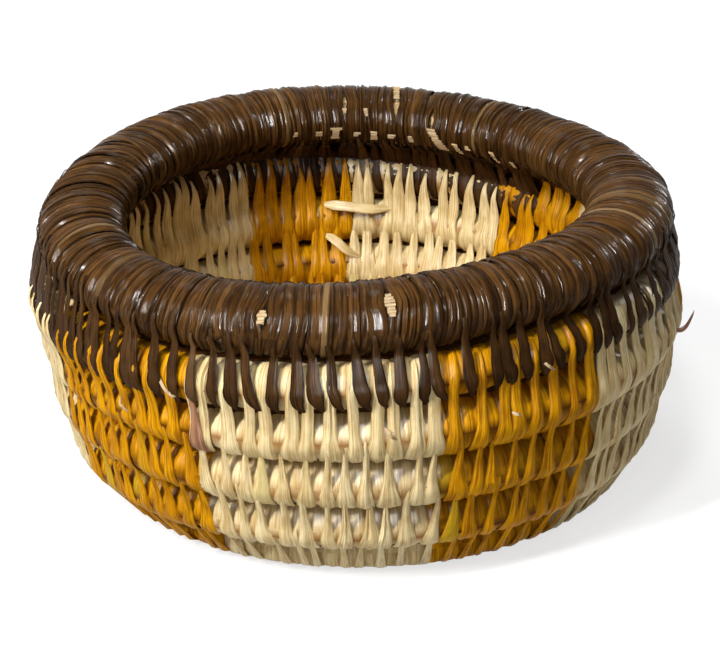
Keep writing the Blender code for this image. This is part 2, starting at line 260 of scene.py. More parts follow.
@dataclass
class StripMesh:
    """A mesh of many ribbons, with a map along each strip and its own random value."""

    across: tuple = PLAIN
    points: list = field(default_factory=list)
    faces: list = field(default_factory=list)
    maps: list = field(default_factory=list)
    cells: list = field(default_factory=list)
    corner_counts: list = field(default_factory=list)
    seeds: list = field(default_factory=list)
    tucks: list = field(default_factory=list)
    shapes: list = field(default_factory=list)
    count: int = 0

    TOP_SHARE = 0.72
    CELL_MARGIN = 0.04
    LOWEST = 3.0 * MM
    PRESSED = 1.5 * MM
    SHARP_ANGLE = math.radians(55)

    def add(self, middle: Array, out: Array, half: Array, crown: Array,
            seed: float, tuck: Array, folds: Array, side: Array | None = None) -> None:
        """Add one ribbon.

        Args:
            middle: points along the ribbon's middle line.
            out: unit vectors out of its face.
            half: half-widths along it.
            crown: how far its middle stands over its edges.
            seed: the strip's own value from 0 to 1.
            tuck: how much painted shade darkens it, 0 in the open and 1 down in the grooves or under the rim.
            folds: height of each point across, which creases the strip.
            side: unit vectors across a closed loop, or None for an open ribbon.
        """
        first, count, closed = len(self.maps), len(middle), side is not None
        if not closed:
            side = unit(np.cross(np.gradient(middle, axis=0), out))
        across = np.array(self.across)
        rise = crown[:, None] * (1 - across**2) + folds[None, :] * (crown / crown.max())[:, None]
        ring = middle[:, None] + side[:, None] * (half[:, None] * across)[..., None]
        ring = ring + out[:, None] * rise[..., None]
        under = middle - out * (crown * 0.5)[:, None]
        ring = np.concatenate([ring, under[:, None]], axis=1)
        wide = ring.shape[1]
        length = np.append(0, np.cumsum(np.linalg.norm(np.diff(middle, axis=0), axis=1)))
        rows = count if closed else count - 1
        i, j = np.meshgrid(np.arange(rows), np.arange(wide), indexing="ij")
        after, beside = (i + 1) % count, (j + 1) % wide
        quads = np.stack([i * wide + j, i * wide + beside, after * wide + beside, after * wide + j], -1)
        self.faces.append(quads.reshape(-1, 4) + self.count)
        u = np.append((across + 1) / 2, 0.5)
        ends = np.append(length, length[-1] + length[1])
        self.maps.append(self.corners(u[j], u[beside], ends[i], ends[i + 1]))
        cell = np.append(np.linspace(0, self.TOP_SHARE, wide - 1), [(1 + self.TOP_SHARE) / 2, 1])
        self.cells.append(self.corners(cell[j], cell[j + 1], i / rows, (i + 1) / rows))
        if not closed:
            self.close_ends(count, wide, length[-1])
        self.corner_counts.append(sum(len(part) for part in self.maps[first:]))
        self.shapes.append((length[-1], 4 * half.mean()))
        self.points.append(ring.reshape(-1, 3))
        self.seeds.append(np.full(count * wide, seed))
        self.tucks.append(np.repeat(tuck, wide))
        self.count += count * wide

    def close_ends(self, count: int, wide: int, length: float) -> None:
        """Close both ends of an open ribbon with quads across its section."""
        for row, place in ((0, 0.0), (count - 1, 1.0)):
            order = list(range(self.count + row * wide, self.count + (row + 1) * wide))
            if row == 0:
                order.reverse()
            low, high = 0, wide - 1
            quads = []
            while high - low >= 3:
                quads.append([order[low], order[low + 1], order[high - 1], order[high]])
                low, high = low + 1, high - 1
            self.faces.append(np.array(quads))
            self.maps.append(np.tile([[0.5, length * place]], (4 * len(quads), 1)))
            self.cells.append(np.tile([[self.TOP_SHARE / 2, place]], (4 * len(quads), 1)))

    @staticmethod
    def corners(low: Array, high: Array, start: Array, end: Array) -> Array:
        """Map corners of quads from their low and high sides and their start and end."""
        pairs = ((low, start), (high, start), (high, end), (low, end))
        return np.stack([np.stack(pair, -1) for pair in pairs], -2).reshape(-1, 2)

    def sheet_map(self) -> Array:
        """Lay the strips side by side on one sheet, each in its own cell."""
        total = len(self.shapes)
        owner = np.repeat(np.arange(total), self.corner_counts)
        long, wide = np.mean(self.shapes, axis=0)
        columns = max(int(math.sqrt(total * long / wide)), 1)
        rows = -(-total // columns)
        local = self.CELL_MARGIN + (1 - 2 * self.CELL_MARGIN) * np.concatenate(self.cells)
        return (local + np.stack([owner % columns, owner // columns], -1)) / [columns, rows]

    def build(self, name: str, material: Material) -> Object:
        """Make the object, smooth along its strips, sharp at their edges and pressed flat at the ground."""
        points = np.concatenate(self.points)
        low = points[:, 2] < self.PRESSED
        share = np.clip((points[low, 2] + self.LOWEST) / (self.PRESSED + self.LOWEST), 0, 1)
        points[low, 2] = share * self.PRESSED
        piece = mesh_object(name, points, np.concatenate(self.faces).tolist(), material)
        mesh = piece.data
        for label, values in (("strip", np.concatenate(self.maps)), ("OFBake", self.sheet_map())):
            layer = mesh.uv_layers.new(name=label)
            layer.uv.foreach_set("vector", values.astype(np.float32).ravel())
        for label, values in (("seed", self.seeds), ("tuck", self.tucks)):
            made = mesh.attributes.new(label, "FLOAT", "POINT")
            made.data.foreach_set("value", np.concatenate(values).astype(np.float32))
        mesh.shade_smooth()
        mesh.set_sharp_from_angle(angle=self.SHARP_ANGLE)
        return piece


# Knots of a stitch below its neck: angle round the coil, rise in lifts, half-width in mm and painted shade.
STITCH_BODY = ((0.35, 1.0, 2.0, 0.0), (0.0, 1.2, 2.65, 0.0), (-0.35, 1.2, 3.1, 0.0),
               (-0.75, 0.9, 3.3, 0.05), (-1.1, 0.1, 2.9, 0.4), (-1.5, -2.6, 1.9, 1.0))
BODY_HALF_MM = 3.3
NECK_TIP_MM = 1.2


@dataclass
class Weaver:
    """The hand that lays the strips: their count, widths and unevenness."""

    spacing: float = 5.2 * MM
    half_wide: float = 2.8 * MM
    pillow_half: float = 2.8 * MM
    crown: float = 0.6 * MM
    pillow_crown: float = 0.5 * MM
    lift: float = 0.35 * MM
    overlap: float = 0.7 * MM
    seat_fill: float = 0.8 * MM
    lowest: float = 1.3 * MM
    draws: np.random.Generator = field(default_factory=lambda: np.random.default_rng(7))

    WALL_FROM_MM = 85.0

    def jitter(self, size: float) -> float:
        """A random value within a size either way."""
        return float(self.draws.uniform(-size, size))

    def wander(self, count: int, size: float) -> Array:
        """A smooth random line of a number of points, within about a size either way."""
        share = np.linspace(0, 1, count)
        waves = [np.sin(TAU * (rate * share + self.draws.random())) / rate for rate in (1, 2, 4)]
        return size * sum(waves) / 1.3

    def folds(self, size: float, across: tuple) -> Array:
        """Creases across one strip: one or two valleys between ridges."""
        creases = self.draws.uniform(-0.35 * size, 0.35 * size, len(across))
        inner = len(across) - 2
        for _ in range(1 + int(self.draws.integers(2)) * (inner > 3)):
            creases[1 + int(self.draws.integers(inner))] -= size * self.draws.uniform(0.4, 1)
        return creases

    def turns(self, first: float, last: float) -> list[float]:
        """Turn numbers of stitches at the hand's spacing along a stretch of coil."""
        turns, turn = [], first
        while turn < last:
            radius = float(COIL.centre(turn)[0])
            step = self.spacing / (TAU * max(radius, self.spacing))
            turns.append(turn + step / 2)
            turn += step
        return turns

    def lay(self, mesh: StripMesh, flat: Array, out: Array, azimuth: Array, half: float | Array,
            crown: float | Array, tuck: float | Array, fold: float, closed: bool = False) -> None:
        """Lay one strip given by radius and height.

        Args:
            mesh: the mesh that takes it.
            flat: radius and height along its middle line.
            out: flat unit vectors out of its face.
            azimuth: azimuth of each of its points.
            half: its half-width.
            crown: how far its middle stands over its edges.
            tuck: how much painted shade darkens it, 0 in the open and 1 down in the grooves or under the rim.
            fold: how deep its creases are.
            closed: whether it is a loop round the coil or the rim.
        """
        half, crown, tuck = (np.broadcast_to(value, len(flat)) for value in (half, crown, tuck))
        side = np.stack([np.cos(azimuth), np.sin(azimuth), np.zeros(len(flat))], -1) if closed else None
        mesh.add(to_space(flat, azimuth), to_space(out, azimuth), half, crown, self.draws.random(), tuck,
                 self.folds(fold, mesh.across), side)

    def loose_end(self, mesh: StripMesh, knots: tuple, half_wide: float, points: int = 14) -> None:
        """Lay one free end of strip.

        Args:
            mesh: the mesh that takes it.
            knots: its middle line as radius in mm, azimuth in degrees and height in mm.
            half_wide: half of its width.
            points: points along it.
        """
        table = np.array(knots, float)
        line = smooth_line(table, points)
        azimuth = np.radians(line[:, 1])
        middle = to_space(line[:, [0, 2]] * MM, azimuth)
        way = 1 if table[:, 0].min() > self.WALL_FROM_MM else -1
        out = to_space(np.tile([0.85 * way, 0.5], (points, 1)), azimuth)
        along = unit(np.gradient(middle, axis=0))
        out = unit(out - along * np.sum(out * along, axis=1)[:, None])
        share = np.linspace(0, 1, points)
        half = half_wide * np.clip(np.minimum(0.55 + 3 * share, 0.35 + 2.2 * (1 - share)), 0.2, 1)
        mesh.add(middle, out, half * (1 + self.wander(points, 0.08)), np.full(points, 0.16 * half_wide),
                 self.draws.random(), np.zeros(points), self.folds(0.12 * half_wide, mesh.across))

    def pillow(self, mesh: StripMesh, turn: float, points: int = 18, seat: bool = False) -> None:
        """Wrap one strip round the coil, as a plump loop that swells up to the rim where it is its seat."""
        radius, height, slope, breadth = (float(x) for x in COIL.centre(turn))
        crown = min(self.pillow_crown, breadth / 8)
        body = max(breadth / 2 - self.lift - 0.8 * crown, 0.8 * MM)
        angles = np.linspace(0, TAU, points, endpoint=False)
        round_it = np.stack([np.cos(angles), np.sin(angles)], -1)
        lean = self.jitter(0.6 * MM) / radius
        wobble = 1 + 0.02 * np.sin(angles * 2 + self.draws.uniform(0, TAU))
        reach = body * wobble + self.overlap * np.sin(angles - slope) ** 4
        if seat:
            fill = min(self.seat_fill, breadth / 8)
            reach += fill * (np.exp(-((angles - 1.1) / 0.5) ** 2) + np.exp(-((angles - 2.1) / 0.5) ** 2))
        flat = np.array([radius, height]) + reach[:, None] * round_it
        half = self.pillow_half * (1 + self.jitter(0.12))
        half = half * np.clip(1 + np.cos(angles) * body / radius, 0.3, 2)
        # Painted shade: the loop darkens where it runs down into the grooves above and below.
        tuck = np.clip(1.1 * np.abs(np.sin(angles - slope)) ** 20, 0, 1)
        self.lay(mesh, flat, round_it, COIL.azimuth(turn) + lean * np.sin(angles), half, crown, tuck,
                 0.3 * crown, closed=True)

    def long_stitch(self, mesh: StripMesh, turn: float, side: Side, neck_angle: float,
                    points: int = 16, blade: float | None = None, tip_wide: float = NECK_TIP_MM) -> None:
        """Lay one stitch: a narrow neck off the row above, widening over this row and tucked in below it.

        Args:
            mesh: the mesh that takes it.
            turn: the turn number of the row that it covers.
            side: outside or inside of the wall.
            neck_angle: how far down the row above the neck comes out, in radians from its middle.
            points: points along it.
            blade: how far its broad neck lies over the row above, or None for a narrow neck.
            tip_wide: half-width of a broad neck's tip in mm, outside.
        """
        lower = [float(x) for x in COIL.centre(turn)]
        upper = [float(x) for x in COIL.centre(turn + 1)]

        def on(row: list[float], angle: float, rise: float) -> Array:
            radius, height, slope, breadth = row
            normal = np.array([math.sin(slope), -math.cos(slope)]) * side.value
            along = np.array([math.cos(slope), math.sin(slope)])
            way = math.cos(angle) * normal + math.sin(angle) * along
            return np.array([radius, height]) + (breadth / 2 + rise) * way

        lift, down = self.lift, -neck_angle
        if blade is None:
            over = lift
            tip, root = (0.5, 1.7) if side is Side.INSIDE else (0.6, 1.25)
        else:
            over = lift + blade
            tip, root = (0.3, 2.3) if side is Side.INSIDE else (tip_wide, 1.9)
        # The last number of each knot is painted shade, darkest where the neck comes up out of the grooves.
        table = [(*on(upper, down + 0.3, -1.2 * MM), tip, 0.9),
                 (*on(upper, down, 0.5 * over), tip + 0.1, 0.3)]
        if down > -0.3:
            steps = 1 + int((down + 0.35) / 0.45)
            for step, angle in enumerate(np.linspace(down, -0.35, steps + 1)[1:], 1):
                table.append((*on(upper, angle, over), tip + (root - tip) * step / (steps + 1), 0.0))
        table.append((*(on(upper, -0.5, over) + on(lower, 0.5, lift)) / 2, root, 0.1))
        for angle, rise, width, tuck in STITCH_BODY:
            table.append((*on(lower, angle, rise * lift), width, tuck))
        read = smooth_line(np.array(table), points)
        line, width, tuck = read[:, :2], read[:, 2], read[:, 3]
        line[:, 1] = np.maximum(line[:, 1], self.lowest)
        share = np.linspace(0, 1, points)
        lean = (0.35 * MM * side.value + self.jitter(1.1 * MM)) / lower[0]
        azimuth = COIL.azimuth(turn) + lean * (0.6 - share) + self.wander(points, 0.3 * MM) / lower[0]
        wide_share = 1.0 if side is Side.OUTSIDE else 1.12
        half = width / BODY_HALF_MM * self.half_wide * wide_share * (1 + self.jitter(0.18))
        half *= 1 + self.wander(points, 0.07)
        self.lay(mesh, line, out_of(line, np.array(lower[:2])), azimuth, half,
                 np.minimum(self.crown, half * 0.5), np.clip(tuck, 0, 1), 0.34 * MM)


# Loose ends: knots of radius in mm, azimuth in degrees and height in mm, then the half-width in mm.
LOOSE_ENDS = (
    (((80.2, -171.5, 49.3), (79.0, -175, 49.0), (78.6, -179.5, 48.2), (79.6, -184, 47.2),
      (83.5, -189, 46.5)), 1.6),
    (((79.8, -171.5, 38.8), (77.2, -174, 37.0), (76.2, -176.5, 34.0), (77.6, -180, 30.6)), 1.4),
)
BROWN_ENDS = (
    (((93.4, 70, 52.6), (95.8, 70.8, 50.8), (97.8, 71.8, 51.4), (99.2, 73.2, 54.2),
      (99.6, 73.6, 55.6)), 0.7),
    (((73.5, 14.5, 3.0), (76.0, 15.0, 1.6), (77.0, 15.8, 0.6)), 0.7),
)
STRAW_ENDS = (
    (((97.8, -33.4, 62.4), (99.0, -32.0, 60.4), (98.2, -30.8, 57.6)), 0.45),
    (((97.6, -31.6, 60.4), (98.8, -31.0, 58.8), (97.8, -30.2, 58.2)), 0.35),
    (((96.4, -43.0, 51.8), (98.0, -42.0, 50.4), (96.8, -41.0, 48.4)), 0.4),
    (((97.2, 3.2, 54.2), (98.6, 4.0, 52.4), (97.6, 5.0, 50.8)), 0.45),
    (((96.2, 29.0, 66.8), (97.8, 30.0, 65.0), (97.0, 31.4, 63.2)), 0.5),
    (((97.6, 23.4, 54.4), (98.6, 24.2, 53.8), (97.8, 25.0, 53.0)), 0.45),
)


def feed(tree: NodeTree, node: Node, values: dict) -> Node:
    """Set or link inputs of a shader node.

    Args:
        tree: the node's tree.
        node: the node.
        values: a number, a colour or another node's output for each input, by its name or number.

    Returns:
        The same node.
    """
    for label, value in values.items():
        if isinstance(value, NodeSocket):
            tree.links.new(value, node.inputs[label])
        else:
            node.inputs[label].default_value = value
    return node


def maths(tree: NodeTree, kind: str, a: object, b: object = 0.0,
          clamp: bool = False) -> NodeSocket:
    """Output of a new maths node on two numbers or sockets."""
    node = tree.nodes.new("ShaderNodeMath")
    node.operation, node.use_clamp = kind, clamp
    return feed(tree, node, {0: a, 1: b}).outputs[0]


def bumped(tree: NodeTree, strength: float, depth: float, height: object) -> NodeSocket:
    """Normal of a new bump node."""
    node = tree.nodes.new("ShaderNodeBump")
    return feed(tree, node, {"Strength": strength, "Distance": depth, "Height": height}).outputs["Normal"]


def new_material(name: str) -> tuple[Material, NodeTree, Node]:
    """Make a material and return it with its tree and its shader."""
    made = bpy.data.materials.new(name)
    made.use_nodes = True
    return made, made.node_tree, made.node_tree.nodes["Principled BSDF"]


@dataclass(frozen=True)
class LeafFinish:
    """How one colour of leaf looks."""

    name: str
    light: tuple
    base: tuple
    # Darker colour for the fibre streaks, and painted shade at the strip's edges where the gaps between
    # strips fall into shade.
    deep: tuple
    # Painted shade for the grooves and under the rim; warm on pale and golden leaf, where it also paints
    # light glowing through the leaf.
    groove: tuple
    rare: tuple
    roughness: float
    gloss: float
    relief: float = 0.6
    # Where the painted edge shade starts, measured from the strip's middle in shares of its width.
    edge: float = 0.36

    SHADES = ("Light", "Base", "Deep", "Groove", "Rare")

    def material(self, fibre: NodeTree) -> Material:
        """Build the material round the shared fibre group."""
        made, tree, shader = new_material(self.name)
        group = tree.nodes.new("ShaderNodeGroup")
        group.node_tree = fibre
        colours = (self.light, self.base, self.deep, self.groove, self.rare)
        feed(tree, group, {label: (*colour, 1) for label, colour in zip(self.SHADES, colours)})
        feed(tree, group, {"Roughness": self.roughness, "Edge": self.edge})
        feed(tree, shader, {"Base Color": group.outputs["Color"], "Roughness": group.outputs["Roughness"],
                            "Normal": bumped(tree, self.relief, 0.4 * MM, group.outputs["Height"]),
                            "Specular IOR Level": self.gloss})
        return made


def fibre_group() -> NodeTree:
    """Build the shader group of leaf fibres: streaks along the strip, its own tone, and painted shade at its
    edges and in the grooves.
    """
    tree = bpy.data.node_groups.new("leaf_fibre", "ShaderNodeTree")
    for label in LeafFinish.SHADES:
        tree.interface.new_socket(label, in_out="INPUT", socket_type="NodeSocketColor")
    for label in ("Roughness", "Edge"):
        tree.interface.new_socket(label, in_out="INPUT", socket_type="NodeSocketFloat")
    tree.interface.new_socket("Color", in_out="OUTPUT", socket_type="NodeSocketColor")
    for label in ("Roughness", "Height"):
        tree.interface.new_socket(label, in_out="OUTPUT", socket_type="NodeSocketFloat")
    given = tree.nodes.new("NodeGroupInput").outputs

    def attribute(label: str) -> NodeSocket:
        node = tree.nodes.new("ShaderNodeAttribute")
        node.attribute_name = label
        return node.outputs["Fac"]

    def times(value: object, share: float, clamp: bool = False) -> NodeSocket:
        return maths(tree, "MULTIPLY", value, share, clamp)

    def plus(a: object, b: object, clamp: bool = False) -> NodeSocket:
        return maths(tree, "ADD", a, b, clamp)

    def minus(a: object, b: object, clamp: bool = False) -> NodeSocket:
        return maths(tree, "SUBTRACT", a, b, clamp)

    def mix(share: object, a: object, b: object) -> NodeSocket:
        node = tree.nodes.new("ShaderNodeMix")
        node.data_type = "RGBA"
        return feed(tree, node, {0: share, 6: a, 7: b}).outputs[2]

    def noise(across_rate: float, along_rate: float, detail: float) -> NodeSocket:
        place = feed(tree, tree.nodes.new("ShaderNodeCombineXYZ"),
                     {0: times(across, across_rate), 1: times(along, along_rate), 2: far})
        node = tree.nodes.new("ShaderNodeTexNoise")
        feed(tree, node, {"Scale": 1.0, "Detail": detail, "Vector": place.outputs[0]})
        return node.outputs["Fac"]

    chart = tree.nodes.new("ShaderNodeUVMap")
    chart.uv_map = "strip"
    split = feed(tree, tree.nodes.new("ShaderNodeSeparateXYZ"), {0: chart.outputs[0]})
    across, along = split.outputs[0], split.outputs[1]
    seed, tuck = attribute("seed"), attribute("tuck")
    far = times(seed, 391.0)
    streak, fine, patch = noise(9.0, 60.0, 3.0), noise(30.0, 80.0, 2.0), noise(1.6, 190.0, 2.0)
    shade = plus(plus(times(streak, 0.9), times(fine, 0.5)), times(patch, 0.5))
    shade = plus(times(minus(shade, 0.95), 5.0), 0.4, clamp=True)
    own = maths(tree, "FRACT", times(seed, 17.3))
    colour = mix(times(own, 0.75), given["Light"], given["Base"])
    colour = mix(times(shade, 0.75), colour, given["Deep"])
    rare = maths(tree, "FRACT", times(seed, 71.9))
    rare = times(minus(rare, 0.93, clamp=True), 14.0, clamp=True)
    colour = mix(times(rare, 0.6), colour, given["Rare"])
    # Painted shade: each strip darkens toward its edges, standing in for the shade in the gaps between
    # strips.
    edge = maths(tree, "ABSOLUTE", minus(across, 0.5))
    edge = times(minus(edge, given["Edge"], clamp=True), 6.0, clamp=True)
    colour = mix(times(edge, 0.7), colour, given["Deep"])
    # Painted shade: darker down in the grooves and under the rim.
    colour = mix(maths(tree, "POWER", tuck, 1.6), colour, given["Groove"])
    rough = plus(given["Roughness"], times(minus(fine, 0.5), 0.35))
    relief = plus(times(noise(5.0, 25.0, 1.0), 0.7), times(streak, 0.3))
    feed(tree, tree.nodes.new("NodeGroupOutput"), {"Color": colour, "Roughness": rough, "Height": relief})
    return tree


def grass_material(name: str, dark: tuple, light: tuple) -> Material:
    """Dry stems with fine streaks between two colours."""
    made, tree, shader = new_material(name)
    where = tree.nodes.new("ShaderNodeTexCoord").outputs["Object"]
    noise = feed(tree, tree.nodes.new("ShaderNodeTexNoise"), {"Scale": 900.0, "Detail": 4.0, "Vector": where})
    ramp = feed(tree, tree.nodes.new("ShaderNodeValToRGB"), {"Fac": noise.outputs["Fac"]})
    for element, colour in zip(ramp.color_ramp.elements, (dark, light)):
        element.color = (*colour, 1)
    feed(tree, shader, {"Base Color": ramp.outputs["Color"], "Roughness": 0.75, "Specular IOR Level": 0.0,
                        "Normal": bumped(tree, 0.4, 0.2 * MM, noise.outputs["Fac"])})
    return made


# Each finish gives light and base colours, a darker colour for streaks and painted edge shade, painted shade
# for the grooves (warm on pale and golden leaf, also painting light glowing through the leaf), a rare colour,
# roughness, gloss, relief and where the edge shade starts.
FINISHES = {
    Leaf.PALE: LeafFinish("pale leaf", (0.76, 0.63, 0.36), (0.64, 0.49, 0.24), (0.42, 0.26, 0.085),
                          (0.28, 0.12, 0.025), (0.54, 0.44, 0.17), 0.32, 0.035),
    Leaf.GOLDEN: LeafFinish("golden leaf", (0.66, 0.31, 0.003), (0.47, 0.195, 0.001), (0.23, 0.072, 0.001),
                            (0.07, 0.015, 0.001), (0.50, 0.36, 0.02), 0.32, 0.018),
    Leaf.STRAW: LeafFinish("straw", (0.56, 0.40, 0.20), (0.44, 0.29, 0.13), (0.24, 0.14, 0.05),
                           (0.12, 0.06, 0.02), (0.48, 0.34, 0.17), 0.6, 0.1),
    Leaf.REDDISH: LeafFinish("reddish leaf", (0.40, 0.20, 0.10), (0.28, 0.125, 0.06), (0.14, 0.05, 0.02),
                             (0.06, 0.02, 0.008), (0.45, 0.26, 0.12), 0.4, 0.1),
    Leaf.DARK: LeafFinish("dark leaf", (0.105, 0.047, 0.012), (0.040, 0.016, 0.004), (0.007, 0.003, 0.001),
                          (0.003, 0.0015, 0.001), (0.30, 0.18, 0.07), 0.17, 0.024, 0.18, 0.25),
}
# The long dark stitches get a darker, duller copy of the dark leaf: its darker colours are painted shade.
TIE_SHADED_FINISH = LeafFinish("dull dark leaf with painted shade", (0.080, 0.036, 0.011), (0.034, 0.0145, 0.004),
                        (0.009, 0.0035, 0.001), (0.004, 0.002, 0.001), (0.14, 0.075, 0.03),
                        0.30, 0.010, 0.40, 0.30)

# Knots of a long dark stitch below its middle: angle round the coil, rise and half-width in mm, painted
# shade.
TIE_TAILS = {
    Side.OUTSIDE: ((0.15, 1.3, 1.85, 0.2), (-0.08, 1.4, 1.8, 0.25), (-0.3, 1.4, 1.4, 0.3),
                   (-0.5, 1.3, 0.85, 0.35), (-0.7, 1.2, 0.4, 0.4), (-0.9, 0.8, 0.1, 0.5)),
    Side.INSIDE: ((0.5, 0.5, 1.5, 0.0), (0.1, 0.4, 1.6, 0.0), (-0.3, 0.3, 1.4, 0.0),
                  (-0.7, 0.1, 0.9, 0.2), (-1.0, -0.8, 0.4, 1.0)),
}

# Gaps in the binding that show the core: azimuth and place round the section in degrees, then
# width, height and the shift from stem to stem in mm.
WINDOWS = (
    (-16, 33, 2.0, 4.2, 0.05), (4.5, 45, 2.0, 6.5, -0.1), (171, 105, 2.4, 6.5, -0.15),
    (-163, -168, 1.4, 1.8, 0.2), (-169.5, -166, 2.2, 1.5, 0.0), (-174, -166, 3.6, 4.4, 0.1),
    (-179.5, -164, 2.2, 2.4, 0.5), (176, -162, 2.1, 3.8, 0.0), (171.5, -163, 2.4, 2.2, 0.3),
    (166.5, -161, 1.8, 3.0, -0.2), (159.5, -166, 3.6, 8.0, -0.55), (154, -154, 1.9, 5.0, -0.45),
    (151, -162, 1.8, 2.0, -0.3), (143, -155, 1.8, 4.4, -0.45), (137, -150, 1.5, 3.0, -0.3),
    (-176.5, 150, 1.5, 2.4, 0.0), (178, 152, 1.2, 3.0, -0.2))

# Places where the binding's strips stand apart: azimuth and place round the section in degrees.
BARE_SPOTS = ((-16, 33), (4, 50), (171, 125), (-177, 130), (-107, 115), (161, 155), (-24, -10))

# Strips that cross over the others: azimuth in degrees and slant in mm.
CROSSING = ((-14.5, 3.5), (-70, 4.0), (-112, -4.0))


@dataclass
class Rim:
    """The thick rim: its oval section, its line and the dark strips bound round it."""

    half_width: float = 13.0 * MM
    half_height: float = 9.8 * MM
    inset: float = 7.4 * MM
    thin_share: float = 0.62
    strip_halves_mm: tuple = (0.7, 1.75)
    strip_overlap: float = 1.15
    crossing_half: float = 1.3 * MM
    wrap_sink: float = 0.85 * MM
    bare_push: float = 1.5 * MM
    tie_crown: float = 0.28 * MM
    stem_pitch: float = 0.85 * MM
    stem_half: float = 0.46 * MM
    stem_crown: float = 0.25 * MM
    necks: dict = field(default_factory=lambda: {side: [] for side in Side})
    weaver: Weaver = field(default_factory=lambda: Weaver(draws=np.random.default_rng(21)))

    @property
    def line_radius(self) -> float:
        """Radius of the rim's middle line."""
        return float(COIL.profile(COIL.top - COIL.pitch / 2)[0]) - self.inset

    @property
    def line_height(self) -> float:
        """Mean height of the rim's middle line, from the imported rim's box."""
        lows, highs = zip(*(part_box(f"rim_wrap_{number}") for number in range(1, 7)))
        return (min(low[2] for low in lows) + max(high[2] for high in highs)) / 2

    def centre(self, azimuth: Array) -> Array:
        """Radius and height of the rim's middle line at an azimuth."""
        azimuth = np.asarray(azimuth, float)
        height = self.line_height + COIL.wave(COIL.top, azimuth)
        return np.stack([self.line_radius + COIL.oval(height, azimuth), height], -1)

    def turn_below(self, azimuth: Array) -> Array:
        """Turn number of the coil that lies under the rim at an azimuth."""
        share = ((azimuth - COIL.seam) / TAU) % 1
        return np.where(share < self.thin_share, COIL.turns, COIL.turns - 1) + share

    def section(self, azimuth: Array, angle: Array, rise: float) -> tuple[Array, Array]:
        """Flat points on the rim's section and the directions out of it."""
        wide, high = self.half_width + rise, self.half_height + rise
        point = self.centre(azimuth) + np.stack([wide * np.cos(angle), high * np.sin(angle)], -1)
        return point, unit(np.stack([np.cos(angle) / wide, np.sin(angle) / high], -1))

    def wrap(self, mesh: StripMesh, azimuth: float, half_wide: float, slant: float, lift: float = 0.0,
             points: int = 28) -> None:
        """Bind one turn of strip round the rim."""
        hand = self.weaver
        angles = np.linspace(0, TAU, points, endpoint=False)
        lean = (slant + hand.jitter(0.5 * MM)) / self.line_radius
        sway = hand.jitter(0.25 * MM) / self.line_radius
        turned = azimuth + lean * np.cos(angles - 0.6)
        turned = turned + sway * np.sin(2 * angles + hand.draws.uniform(0, TAU))
        for spot, at in BARE_SPOTS:
            away = (turned - math.radians(spot) + math.pi) % TAU - math.pi
            near = np.cos(angles - math.radians(at)) - 1
            push = self.bare_push / self.line_radius * np.exp(near / 0.06) * np.exp(-np.abs(away) / 0.05)
            turned = turned + np.where(away < 0, -push, push)
        flat, out = self.section(turned, angles, lift - self.wrap_sink + hand.jitter(0.25 * MM))
        half = half_wide * (1 + np.cos(angles) * self.half_width / self.line_radius)
        half *= 1 + 0.12 * np.sin(angles + hand.draws.uniform(0, TAU))
        # Painted shade on the underside of the rim, toward the row below.
        tuck = np.clip(1.6 * np.clip(-np.sin(angles) - 0.55, 0, 1), 0, 1)
        hand.lay(mesh, flat, out, turned, half, 0.26 * half_wide, tuck, 0.3 * half_wide, closed=True)

    def build_wraps(self) -> StripMesh:
        """Lay every turn of the rim's binding."""
        mesh = StripMesh(across=FINE)
        azimuth, outer = 0.0, self.line_radius + self.half_width
        while azimuth < TAU:
            half = self.weaver.draws.uniform(*self.strip_halves_mm) * MM
            slant = (1.1 + 0.9 * math.sin(azimuth + 2.2)) * MM
            self.wrap(mesh, azimuth, half * self.strip_overlap, slant)
            azimuth += 2 * half / outer
        for azimuth, slant in CROSSING:
            self.wrap(mesh, math.radians(azimuth), self.crossing_half, slant * MM, lift=0.5 * MM)
        return mesh

    def tie(self, mesh: StripMesh, azimuth: float, side: Side, points: int = 17) -> None:
        """Lay one long dark stitch from the rim down over the row below.

        Args:
            mesh: the mesh that takes it.
            azimuth: where it lies.
            side: outside or inside of the wall.
            points: points along it.
        """
        hand, way = self.weaver, side.value
        row = [float(x) for x in COIL.centre(self.turn_below(azimuth))]

        def on_row(angle: float, rise: float) -> Array:
            body = row[3] / 2 + rise
            return np.array([row[0] + way * body * math.cos(angle), row[1] + body * math.sin(angle)])

        def on_rim(angle: float, rise: float) -> Array:
            turned = angle if way > 0 else math.pi - angle
            return self.section(np.array(azimuth), np.array(turned), rise)[0]

        if side is Side.OUTSIDE:
            flank = flank_share(azimuth)
            start = hand.draws.uniform(-0.5, 0.1) + 0.4 * flank
            seat, top, rise, bulge = min(start - 0.3, -0.5 + 0.2 * flank), 0.35, 1.1 * MM, 0.55 * MM
        else:
            start = hand.draws.uniform(-1.0, -0.6)
            seat, top, rise, bulge = -1.35, 0.85, 0.6 * MM, 0.2 * MM
        held, below = on_rim(seat, 0.7 * MM), on_row(top, rise)
        middle = (held + below) / 2 + np.array([way * bulge, 0.0])
